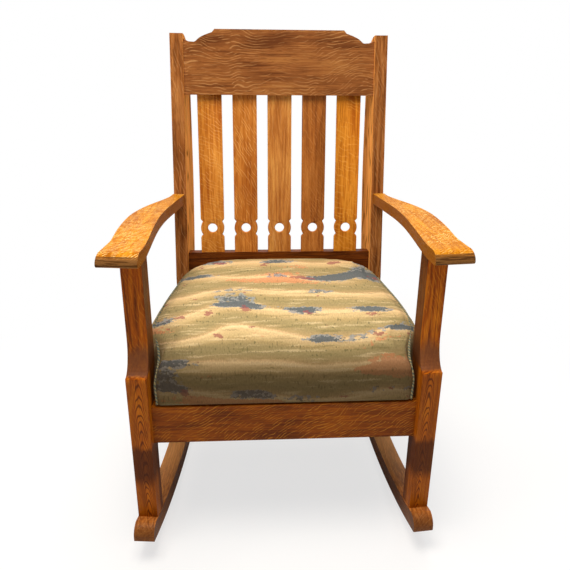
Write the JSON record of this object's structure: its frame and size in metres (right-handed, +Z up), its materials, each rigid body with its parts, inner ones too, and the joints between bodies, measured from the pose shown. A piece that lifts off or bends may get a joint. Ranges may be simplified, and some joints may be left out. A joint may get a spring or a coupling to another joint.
{
  "type": "rocking chair",
  "caption": "Oak rocking chair on curved runners, with flat paddle arms, a slatted leaning back, a scalloped crest rail and an upholstered spring seat that lifts off.",
  "frame": {"origin": "on the floor, under the middle of the chair's bounding box", "axes": "+Z up, -Y the way the sitter faces, +X to the right as seen from in front"},
  "size_m": [0.6216, 0.7453, 0.9763],
  "materials": {
    "oak": "satin varnish",
    "dark_oak": "satin varnish",
    "golden_oak": "satin varnish",
    "pale_wood": "bare",
    "steel": "plain",
    "jute": "woven",
    "dust_cloth": "woven",
    "tapestry": "woven tapestry",
    "welt_cord": "woven"
  },
  "bodies": {
    "chair": {"front_leg_left": "oak", "front_leg_right": "oak", "back_post_left": "dark_oak", "back_post_right": "dark_oak", "runner_left": "dark_oak", "runner_right": "dark_oak", "arm_left": "golden_oak", "arm_right": "golden_oak", "crest_rail": "dark_oak", "lower_back_rail": "dark_oak", "back_slat_1": "golden_oak", "back_slat_2": "golden_oak", "back_slat_3": "golden_oak", "back_slat_4": "golden_oak", "back_slat_5": "golden_oak", "front_seat_rail": "oak", "back_seat_rail": "dark_oak", "side_seat_rail_left": "dark_oak", "side_seat_rail_right": "dark_oak", "corner_blocks": "pale_wood", "corner_block_screws": "steel", "front_rail_dowels": "pale_wood", "side_rail_dowels": "pale_wood", "back_seat_rail_dowels": "pale_wood", "back_dowels": "pale_wood", "runner_pegs": "pale_wood", "arm_dowels": "pale_wood"},
    "seat": {"seat_frame_front": "pale_wood", "seat_frame_back": "pale_wood", "seat_frame_left": "pale_wood", "seat_frame_right": "pale_wood", "seat_frame_dowels": "pale_wood", "webbing_lengthwise": "jute", "webbing_crosswise": "jute", "seat_springs": "steel", "burlap_sheet": "jute", "dust_cover": "dust_cloth", "seat_cushion": "tapestry", "seat_welt": "welt_cord"}
  },
  "joints": [
    {"name": "seat_lift", "type": "slide", "parent": "chair", "child": "seat", "axis": [0, 0, 1], "range_m": [0, 0.1]}
  ]
}
